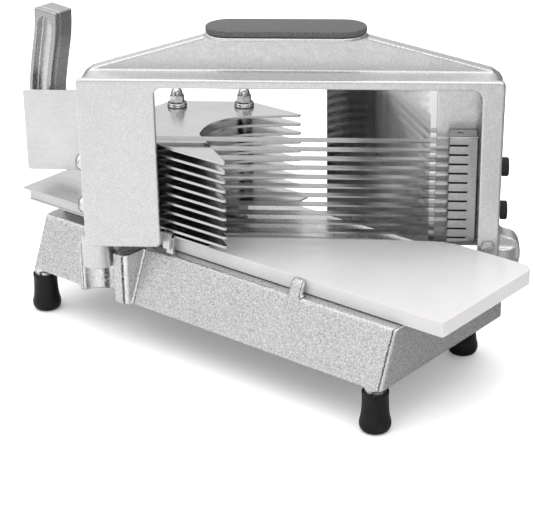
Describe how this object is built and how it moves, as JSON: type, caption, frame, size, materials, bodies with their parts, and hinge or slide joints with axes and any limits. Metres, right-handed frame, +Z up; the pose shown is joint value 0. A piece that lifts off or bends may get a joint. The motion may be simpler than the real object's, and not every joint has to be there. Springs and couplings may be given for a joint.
{
  "type": "tomato slicer",
  "caption": "Hand-operated kitchen slicer: a finned pusher on a slide forces a tomato through a diagonal stack of flat blades onto a board; cast base on rubber boots.",
  "frame": {"origin": "on the ground, under the middle of the whole slicer (the centre of its overall box)", "axes": "+X along the base towards the output end, +Z up, the operator's side faces -Y"},
  "size_m": [0.3652, 0.182, 0.2185],
  "materials": {
    "cast_aluminium": "sand-cast aluminium, fine pebbled grain, satin",
    "rubber": "black moulded rubber, semi-gloss",
    "grip_pad": "dark grey textured pad",
    "brushed_steel": "brushed stainless steel",
    "mirror_steel": "bright polished stainless sheet",
    "chrome": "chrome-plated steel",
    "black_steel": "black knurled steel",
    "white_plastic": "white polyethylene, satin"
  },
  "bodies": {
    "base": {"base_casting": "cast_aluminium", "blade_01": "brushed_steel", "blade_02": "brushed_steel", "blade_03": "brushed_steel", "blade_04": "brushed_steel", "blade_05": "brushed_steel", "blade_06": "brushed_steel", "blade_07": "brushed_steel", "blade_08": "brushed_steel", "blade_09": "brushed_steel", "blade_10": "brushed_steel", "blade_11": "brushed_steel", "blade_frame": "cast_aluminium", "carry_grip": "grip_pad", "column_foot_screw": "brushed_steel", "dome_nut_lower": "chrome", "dome_nut_upper": "chrome", "frame_bolt_left": "brushed_steel", "frame_bolt_right": "brushed_steel", "front_guide_clip": "brushed_steel", "front_runner": "white_plastic", "guard_screw_lower": "brushed_steel", "guard_screw_upper": "brushed_steel", "left_blade_holder": "brushed_steel", "left_blade_rod": "brushed_steel", "rear_guard": "mirror_steel", "rear_guide_clip": "brushed_steel", "rear_runner": "white_plastic", "right_blade_holder": "brushed_steel", "right_blade_rod": "brushed_steel", "rubber_foot_front_left": "rubber", "rubber_foot_front_right": "rubber", "rubber_foot_rear_left": "rubber", "rubber_foot_rear_right": "rubber", "tension_screw_lower": "black_steel", "tension_screw_upper": "black_steel"},
    "pusher": {"acorn_nut_front": "chrome", "acorn_nut_rear": "chrome", "guard_nut_lower": "brushed_steel", "guard_nut_upper": "brushed_steel", "hand_guard": "brushed_steel", "handle_bolt": "brushed_steel", "pusher_fin_01": "brushed_steel", "pusher_fin_02": "brushed_steel", "pusher_fin_03": "brushed_steel", "pusher_fin_04": "brushed_steel", "pusher_fin_05": "brushed_steel", "pusher_fin_06": "brushed_steel", "pusher_fin_07": "brushed_steel", "pusher_fin_08": "brushed_steel", "pusher_fin_09": "brushed_steel", "pusher_fin_10": "brushed_steel", "pusher_handle": "cast_aluminium", "pusher_stud_front": "brushed_steel", "pusher_stud_rear": "brushed_steel", "slide_plate": "brushed_steel", "stud_washer_front": "chrome", "stud_washer_rear": "chrome"},
    "board": {"cutting_board": "white_plastic"}
  },
  "joints": [
    {"name": "pusher_slide", "type": "slide", "parent": "base", "child": "pusher", "axis": [1, 0, 0], "range_m": [-0.08, 0.095]},
    {"name": "board_slide", "type": "slide", "parent": "base", "child": "board", "axis": [1, 0, 0], "range_m": [0, 0.1]}
  ]
}
